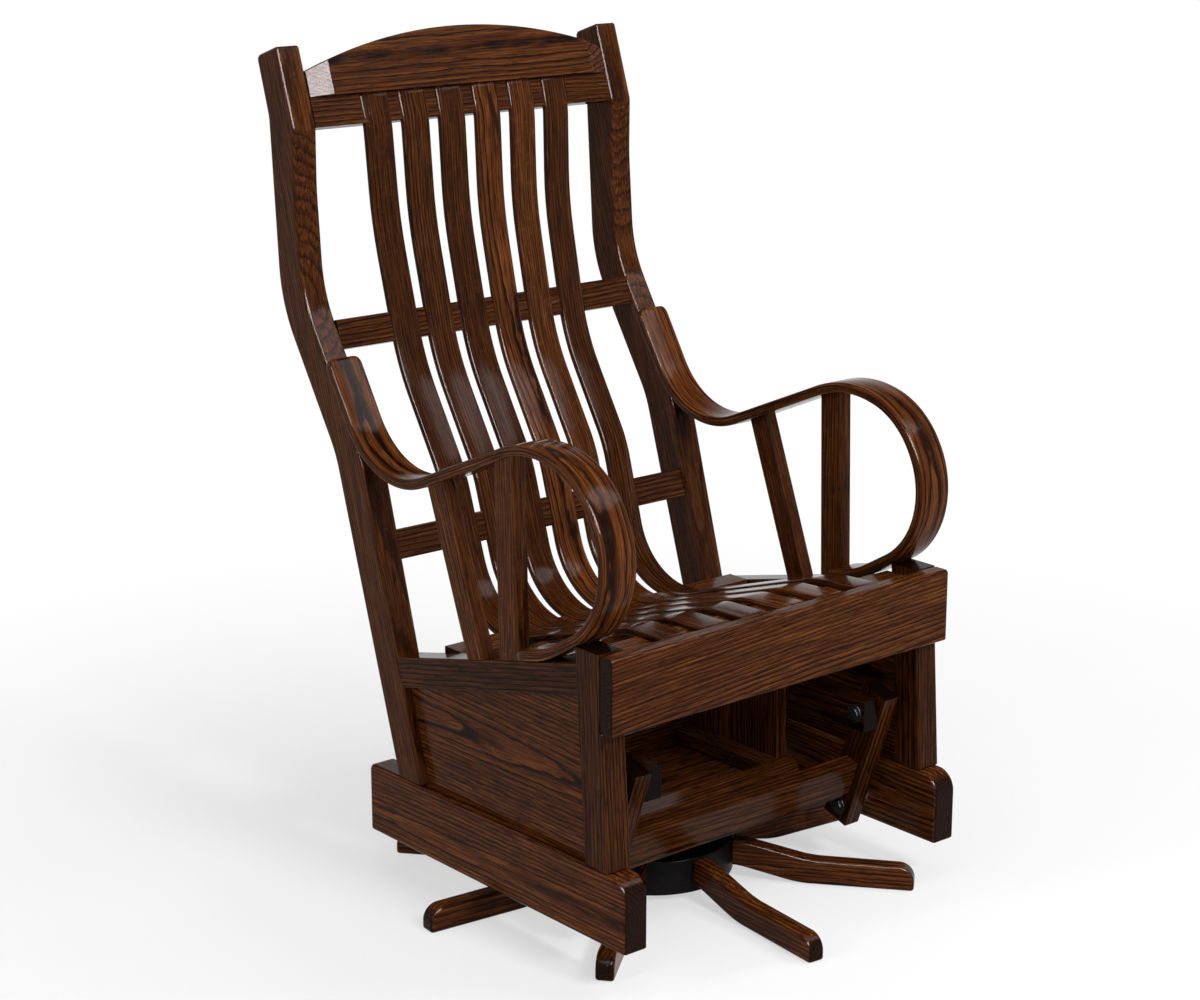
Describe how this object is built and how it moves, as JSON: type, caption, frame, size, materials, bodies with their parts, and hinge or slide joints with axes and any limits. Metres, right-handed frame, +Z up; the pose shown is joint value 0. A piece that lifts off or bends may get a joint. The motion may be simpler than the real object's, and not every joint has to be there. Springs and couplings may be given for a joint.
{
  "type": "glider rocker",
  "caption": "Slatted oak glider armchair with looped bentwood arms, swinging on links from a swivel frame over a star foot.",
  "frame": {"origin": "on the floor, under the axis of the swivel", "axes": "+Z up, the chair faces -Y, +X towards the sitter's left"},
  "size_m": [0.729, 0.8435, 1.1374],
  "materials": {
    "walnut_oak": "dark stained open-grain oak, semi-gloss",
    "black_paint": "matte black paint on wood",
    "bearing_steel": "black coated steel",
    "bolt_steel": "dark zinc"
  },
  "bodies": {
    "base": {"star_hub": "black_paint", "lower_race": "bearing_steel", "star_leg_1": "walnut_oak", "star_leg_2": "walnut_oak", "star_leg_3": "walnut_oak", "star_leg_4": "walnut_oak", "star_leg_5": "walnut_oak", "star_leg_6": "walnut_oak", "star_leg_7": "walnut_oak", "star_leg_8": "walnut_oak"},
    "swivel_frame": {"upper_race": "bearing_steel", "tray_floor": "walnut_oak", "front_sill": "walnut_oak", "rear_sill": "walnut_oak", "side_sill_left": "walnut_oak", "side_sill_right": "walnut_oak", "frame_side_left": "walnut_oak", "frame_side_right": "walnut_oak", "upper_rail_left": "walnut_oak", "upper_rail_right": "walnut_oak", "front_upper_bolts": "bolt_steel", "rear_upper_bolts": "bolt_steel"},
    "front_links": {"front_link_left": "walnut_oak", "front_link_right": "walnut_oak", "front_stretcher": "walnut_oak"},
    "rear_links": {"rear_link_left": "walnut_oak", "rear_link_right": "walnut_oak", "rear_stretcher": "walnut_oak"},
    "seat": {"apron": "walnut_oak", "front_seat_rail": "walnut_oak", "rear_seat_rail": "walnut_oak", "low_back_rail": "walnut_oak", "mid_back_rail": "walnut_oak", "top_back_rail": "walnut_oak", "crest_rail": "walnut_oak", "slat_1": "walnut_oak", "slat_2": "walnut_oak", "slat_3": "walnut_oak", "slat_4": "walnut_oak", "slat_5": "walnut_oak", "slat_6": "walnut_oak", "runner_left": "walnut_oak", "runner_right": "walnut_oak", "front_post_left": "walnut_oak", "front_post_right": "walnut_oak", "rear_post_left": "walnut_oak", "rear_post_right": "walnut_oak", "side_rail_left": "walnut_oak", "side_rail_right": "walnut_oak", "side_panel_left": "walnut_oak", "side_panel_right": "walnut_oak", "arm_left": "walnut_oak", "arm_right": "walnut_oak", "front_stile_left": "walnut_oak", "front_stile_right": "walnut_oak", "rear_stile_left": "walnut_oak", "rear_stile_right": "walnut_oak", "front_lower_bolts": "bolt_steel", "rear_lower_bolts": "bolt_steel"}
  },
  "joints": [
    {"name": "swivel", "type": "hinge", "parent": "base", "child": "swivel_frame", "pos_m": [0, 0, 0.084], "axis": [0, 0, 1], "continuous": true},
    {"name": "glide", "type": "hinge", "parent": "swivel_frame", "child": "front_links", "pos_m": [0, -0.208, 0.246], "axis": [1, 0, 0], "range_deg": [-12, 12]},
    {"name": "rear_link_swing", "type": "hinge", "parent": "swivel_frame", "child": "rear_links", "pos_m": [0, 0.2283, 0.246], "axis": [1, 0, 0], "range_deg": [-12.5, 12.5]},
    {"name": "seat_hang", "type": "hinge", "parent": "front_links", "child": "seat", "pos_m": [0, -0.154, 0.0895], "axis": [1, 0, 0], "range_deg": [-15, 15]}
  ],
  "couplings": [
    {"joint": "rear_link_swing", "follows": "glide", "ratio": 1},
    {"joint": "seat_hang", "follows": "glide", "ratio": -1.2293}
  ]
}
